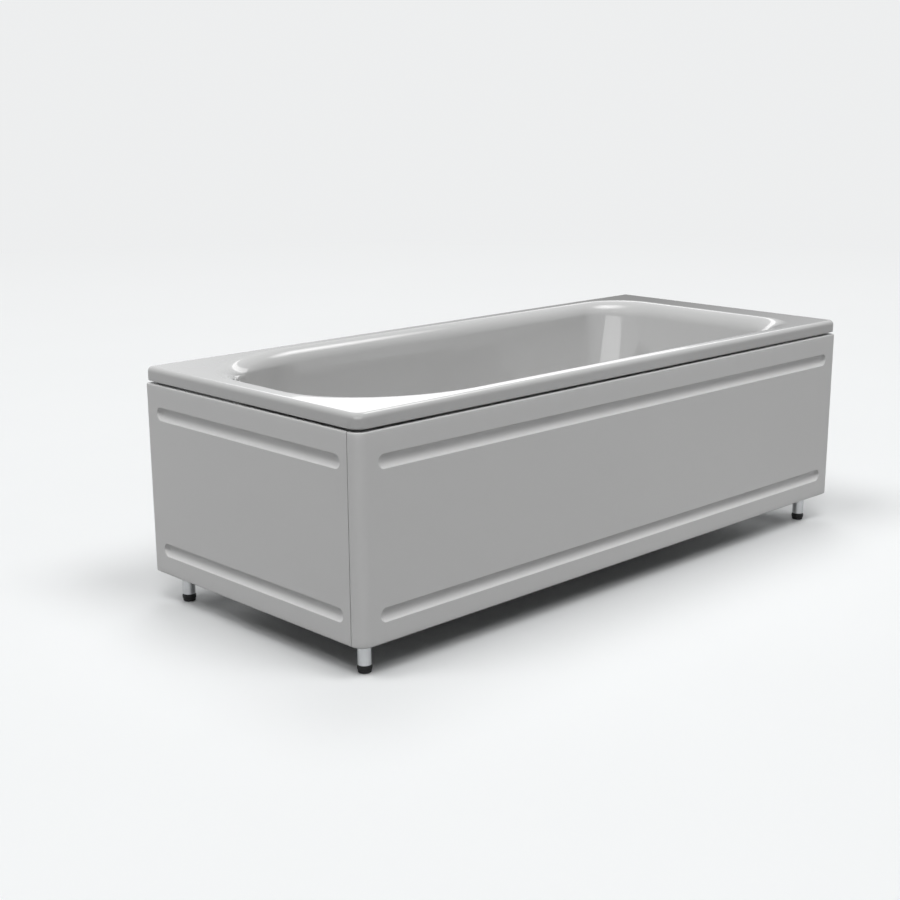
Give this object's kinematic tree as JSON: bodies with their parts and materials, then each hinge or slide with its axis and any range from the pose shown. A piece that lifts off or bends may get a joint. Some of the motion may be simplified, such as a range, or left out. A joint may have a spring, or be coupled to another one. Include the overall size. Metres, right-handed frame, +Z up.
{
  "type": "alcove bathtub",
  "caption": "Rectangular alcove bathtub: enamelled well with a sloped backrest, front and end panels, levelling legs on a tube frame, and a rotary pop-up waste.",
  "frame": {"origin": "middle of the tub's footprint, on the floor", "axes": "+X along the tub's length towards the backrest, -Y towards the front panel, +Z up"},
  "size_m": [1.7, 0.735, 0.56],
  "materials": {
    "enamel": "gloss white enamel",
    "panel_skin": "satin white",
    "leg_metal": "satin zinc",
    "foot_plastic": "black",
    "rod_metal": "zinc",
    "frame_metal": "galvanised",
    "rail_metal": "galvanised",
    "screw_metal": "zinc",
    "black_rubber": "matt",
    "damping_pad": "matt",
    "white_plastic": "white",
    "pipe_plastic": "white",
    "black_plastic": "black",
    "chrome_trim": "polished",
    "steel_pin": "bright"
  },
  "bodies": {
    "bath": {"back_rail": "frame_metal", "cross_bars": "frame_metal", "drain_gasket": "black_rubber", "drain_ring": "chrome_trim", "earth_tag": "rail_metal", "end_panel_rails": "rail_metal", "end_panel_sockets": "white_plastic", "end_stay": "rail_metal", "floor_pads": "black_rubber", "foot_end_rail": "frame_metal", "front_panel_rails": "rail_metal", "front_panel_sockets": "white_plastic", "front_rail": "frame_metal", "front_stays": "rail_metal", "head_end_rail": "frame_metal", "leg_back_left": "leg_metal", "leg_back_right": "leg_metal", "leg_caps": "black_rubber", "leg_end_caps": "foot_plastic", "leg_front_left": "leg_metal", "leg_front_right": "leg_metal", "outlet_pipe": "pipe_plastic", "overflow_elbow": "pipe_plastic", "overflow_gasket": "black_rubber", "overflow_nuts": "pipe_plastic", "overflow_pipe": "pipe_plastic", "overflow_plate": "chrome_trim", "panel_rail_screws": "screw_metal", "pull_cable": "black_plastic", "sound_pads": "damping_pad", "trap_bend": "pipe_plastic", "trap_nuts": "pipe_plastic", "tub_shell": "enamel", "wall_brackets": "rail_metal", "waste_body": "pipe_plastic"},
    "front_panel": {"front_panel": "panel_skin", "front_panel_stiffeners": "white_plastic", "front_panel_pins": "white_plastic"},
    "end_panel": {"end_panel": "panel_skin", "end_panel_stiffeners": "white_plastic", "end_panel_pins": "white_plastic"},
    "knob": {"overflow_knob": "chrome_trim", "knob_spindle": "steel_pin"},
    "plug": {"drain_plug": "chrome_trim", "plug_seal": "black_rubber", "plug_stem": "steel_pin"},
    "foot_front_left": {"glide_front_left": "foot_plastic"},
    "foot_screw_front_left": {"hand_wheel_front_left": "foot_plastic", "foot_rod_front_left": "rod_metal"},
    "foot_front_right": {"glide_front_right": "foot_plastic"},
    "foot_screw_front_right": {"hand_wheel_front_right": "foot_plastic", "foot_rod_front_right": "rod_metal"},
    "foot_back_left": {"glide_back_left": "foot_plastic"},
    "foot_screw_back_left": {"hand_wheel_back_left": "foot_plastic", "foot_rod_back_left": "rod_metal"},
    "foot_back_right": {"glide_back_right": "foot_plastic"},
    "foot_screw_back_right": {"hand_wheel_back_right": "foot_plastic", "foot_rod_back_right": "rod_metal"}
  },
  "joints": [
    {"name": "front_panel_pull", "type": "slide", "parent": "bath", "child": "front_panel", "axis": [0, -1, 0], "range_m": [0, 0.06]},
    {"name": "end_panel_pull", "type": "slide", "parent": "bath", "child": "end_panel", "axis": [-1, 0, 0], "range_m": [0, 0.06]},
    {"name": "knob_turn", "type": "hinge", "parent": "bath", "child": "knob", "pos_m": [-0.76515, 0, 0.485], "axis": [0.9781, 0, 0.2079], "range_deg": [0, 120]},
    {"name": "plug_lift", "type": "slide", "parent": "bath", "child": "plug", "axis": [0, 0, 1], "range_m": [0, 0.0105]},
    {"name": "foot_height_front_left", "type": "slide", "parent": "bath", "child": "foot_front_left", "axis": [0, 0, -1], "range_m": [0, 0.04]},
    {"name": "foot_turn_front_left", "type": "hinge", "parent": "foot_front_left", "child": "foot_screw_front_left", "pos_m": [-0.798, -0.3155, 0.01], "axis": [0, 0, 1], "range_deg": [0, 9601]},
    {"name": "foot_height_front_right", "type": "slide", "parent": "bath", "child": "foot_front_right", "axis": [0, 0, -1], "range_m": [0, 0.04]},
    {"name": "foot_turn_front_right", "type": "hinge", "parent": "foot_front_right", "child": "foot_screw_front_right", "pos_m": [0.798, -0.3155, 0.01], "axis": [0, 0, 1], "range_deg": [0, 9601]},
    {"name": "foot_height_back_left", "type": "slide", "parent": "bath", "child": "foot_back_left", "axis": [0, 0, -1], "range_m": [0, 0.04]},
    {"name": "foot_turn_back_left", "type": "hinge", "parent": "foot_back_left", "child": "foot_screw_back_left", "pos_m": [-0.798, 0.3155, 0.01], "axis": [0, 0, 1], "range_deg": [0, 9601]},
    {"name": "foot_height_back_right", "type": "slide", "parent": "bath", "child": "foot_back_right", "axis": [0, 0, -1], "range_m": [0, 0.04]},
    {"name": "foot_turn_back_right", "type": "hinge", "parent": "foot_back_right", "child": "foot_screw_back_right", "pos_m": [0.798, 0.3155, 0.01], "axis": [0, 0, 1], "range_deg": [0, 9601]}
  ],
  "couplings": [
    {"joint": "plug_lift", "follows": "knob_turn", "m_per_rad": 0.0047746},
    {"joint": "foot_turn_front_left", "follows": "foot_height_front_left", "rad_per_m": 4188.8},
    {"joint": "foot_turn_front_right", "follows": "foot_height_front_right", "rad_per_m": 4188.8},
    {"joint": "foot_turn_back_left", "follows": "foot_height_back_left", "rad_per_m": 4188.8},
    {"joint": "foot_turn_back_right", "follows": "foot_height_back_right", "rad_per_m": 4188.8}
  ]
}
